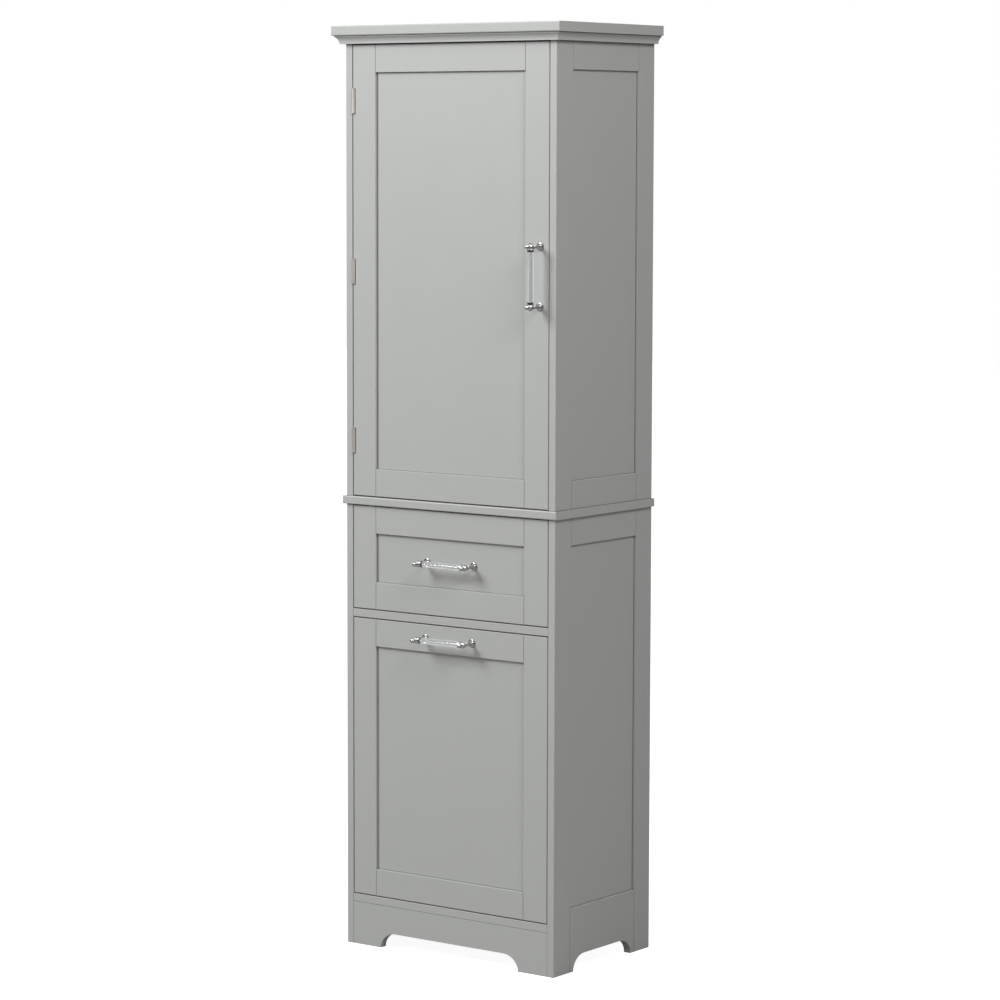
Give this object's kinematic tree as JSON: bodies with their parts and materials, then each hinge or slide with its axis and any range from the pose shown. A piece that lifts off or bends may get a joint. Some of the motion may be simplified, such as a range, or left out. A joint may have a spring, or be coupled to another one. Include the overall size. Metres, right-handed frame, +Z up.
{
  "type": "linen cabinet",
  "caption": "Tall free-standing bathroom linen cabinet with a hinged upper door over a drawer and a tilt-out laundry hamper on bracket feet.",
  "frame": {"origin": "on the floor under the middle of the whole cabinet, handles included", "axes": "+X to the right seen from the front, +Y from the front to the back, +Z up"},
  "size_m": [0.522, 0.3516, 1.727],
  "materials": {
    "paint": "satin grey-green paint on board",
    "back_panel": "thin board with a grey face",
    "drawer_box": "grey foil on board",
    "zinc_steel": "bright zinc",
    "hinge_metal": "dull nickel",
    "chrome": "polished",
    "clear_bar": "clear acrylic, polished",
    "bag_fabric": "plain canvas weave",
    "dark_plastic": "moulded, fine grain"
  },
  "bodies": {
    "cabinet": {"bottom_board": "paint", "crown_front": "paint", "crown_side_returns": "paint", "divider_board": "paint", "door_catch": "dark_plastic", "front_apron": "paint", "hamper_catch": "dark_plastic", "hamper_pivot_pins": "zinc_steel", "hinge_cabinet_leaves": "hinge_metal", "hinge_pins": "hinge_metal", "lower_back_panel": "back_panel", "lower_left_side_panel": "paint", "lower_left_side_rails": "paint", "lower_left_side_stiles": "paint", "lower_right_side_panel": "paint", "lower_right_side_rails": "paint", "lower_right_side_stiles": "paint", "shelf_1": "paint", "shelf_2": "paint", "shelf_pins": "zinc_steel", "slide_outer_members": "zinc_steel", "stay_guides": "dark_plastic", "sub_top_board": "paint", "top_board": "paint", "upper_back_panel": "back_panel", "upper_left_side_panel": "paint", "upper_left_side_rails": "paint", "upper_left_side_stiles": "paint", "upper_right_side_panel": "paint", "upper_right_side_rails": "paint", "upper_right_side_stiles": "paint", "waist_board": "paint", "wall_rail": "paint"},
    "door": {"door_stiles": "paint", "door_rails": "paint", "door_panel": "paint", "door_handle_posts": "chrome", "door_handle_bar": "clear_bar", "hinge_door_leaves": "hinge_metal", "door_strike": "zinc_steel"},
    "drawer": {"drawer_front_stiles": "paint", "drawer_front_rails": "paint", "drawer_front_panel": "paint", "drawer_handle_posts": "chrome", "drawer_handle_bar": "clear_bar", "drawer_side_left": "drawer_box", "drawer_side_right": "drawer_box", "drawer_back": "drawer_box", "drawer_bottom": "drawer_box", "slide_inner_members": "zinc_steel"},
    "drawer_slides": {"slide_middle_members": "zinc_steel"},
    "hamper": {"hamper_front_stiles": "paint", "hamper_front_rails": "paint", "hamper_front_panel": "paint", "hamper_handle_posts": "chrome", "hamper_handle_bar": "clear_bar", "quadrant_stays": "zinc_steel", "bag_frame": "zinc_steel", "laundry_bag": "bag_fabric", "hamper_strike": "zinc_steel"}
  },
  "joints": [
    {"name": "door_hinge", "type": "hinge", "parent": "cabinet", "child": "door", "pos_m": [-0.2227, -0.13325, 1.2735], "axis": [0, 0, -1], "range_deg": [0, 170]},
    {"name": "drawer_slide", "type": "slide", "parent": "cabinet", "child": "drawer", "axis": [0, -1, 0], "range_m": [0, 0.22]},
    {"name": "slide_middle", "type": "slide", "parent": "cabinet", "child": "drawer_slides", "axis": [0, -1, 0], "range_m": [0, 0.11]},
    {"name": "hamper_pivot", "type": "hinge", "parent": "cabinet", "child": "hamper", "pos_m": [0, -0.12325, 0.138], "axis": [1, 0, 0], "range_deg": [0, 35]}
  ],
  "couplings": [
    {"joint": "slide_middle", "follows": "drawer_slide", "ratio": 0.5}
  ]
}
